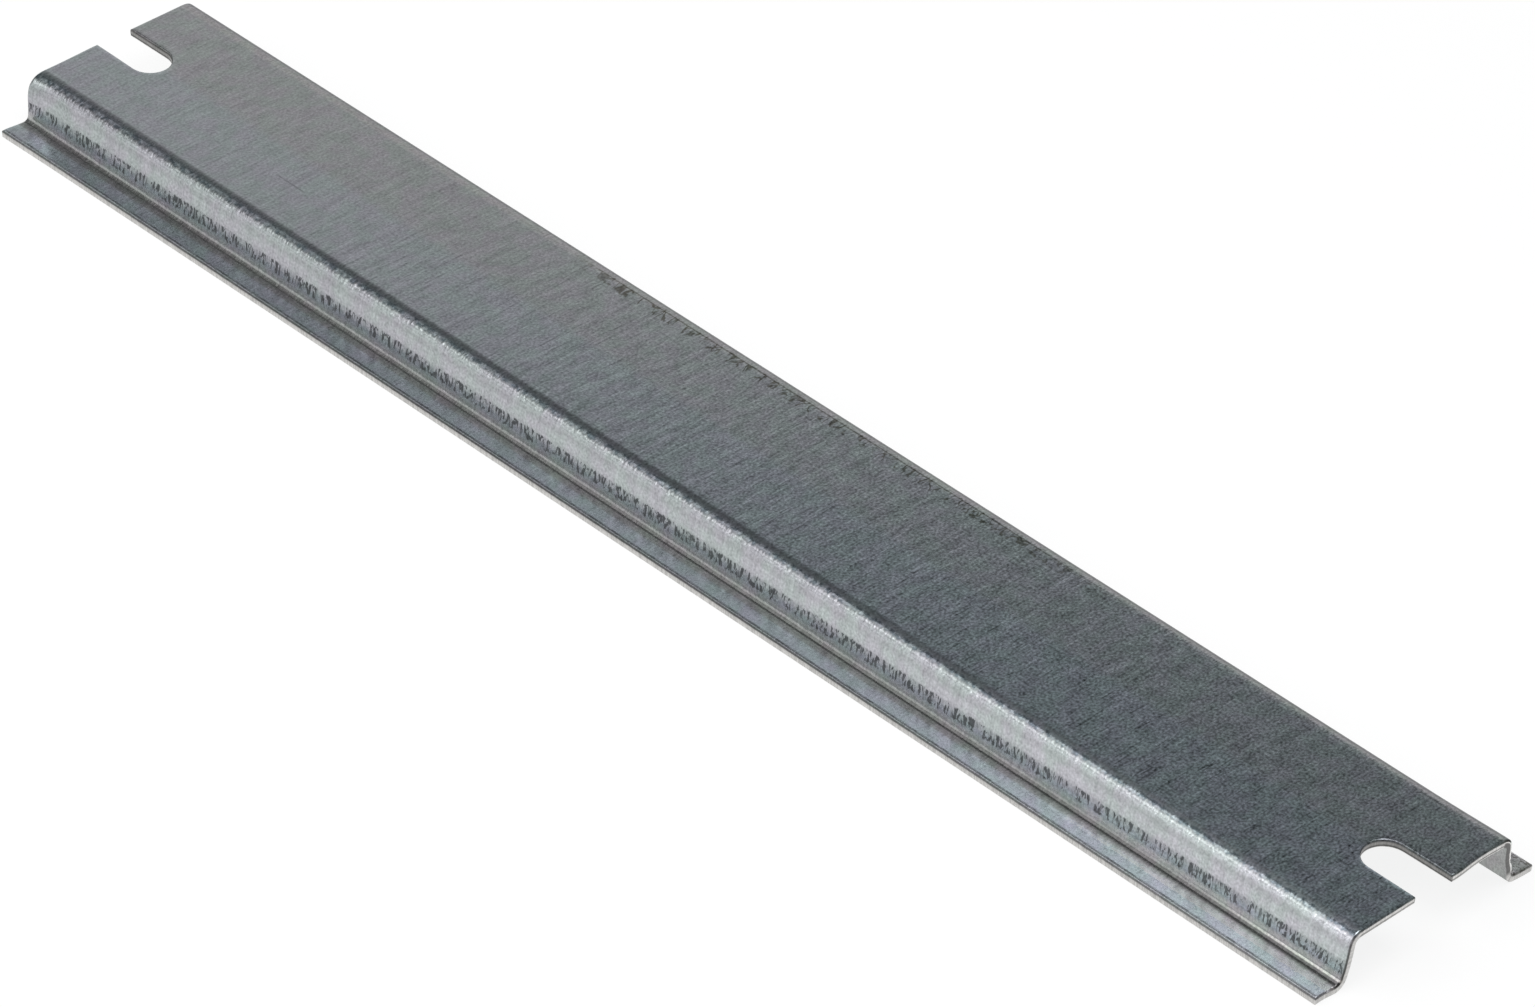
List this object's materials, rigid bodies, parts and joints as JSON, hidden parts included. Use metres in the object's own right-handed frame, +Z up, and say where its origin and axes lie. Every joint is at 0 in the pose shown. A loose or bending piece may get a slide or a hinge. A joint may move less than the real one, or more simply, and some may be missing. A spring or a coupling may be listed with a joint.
{
  "type": "din rail",
  "caption": "Top-hat mounting rail of roll-formed zinc-plated steel strip: a raised flat crown, narrow flanges that devices clip onto, and an open slot for a screw at each end.",
  "frame": {"origin": "On the floor at the middle of the rail's length and width, under the crown", "axes": "X runs along the rail, Y across it and Z up, from the flanges to the crown"},
  "size_m": [0.22, 0.035, 0.0075],
  "materials": {
    "zinc_plated_steel": "zinc-plated, dull satin"
  },
  "bodies": {
    "root": {"din_rail": "zinc_plated_steel"}
  },
  "joints": []
}
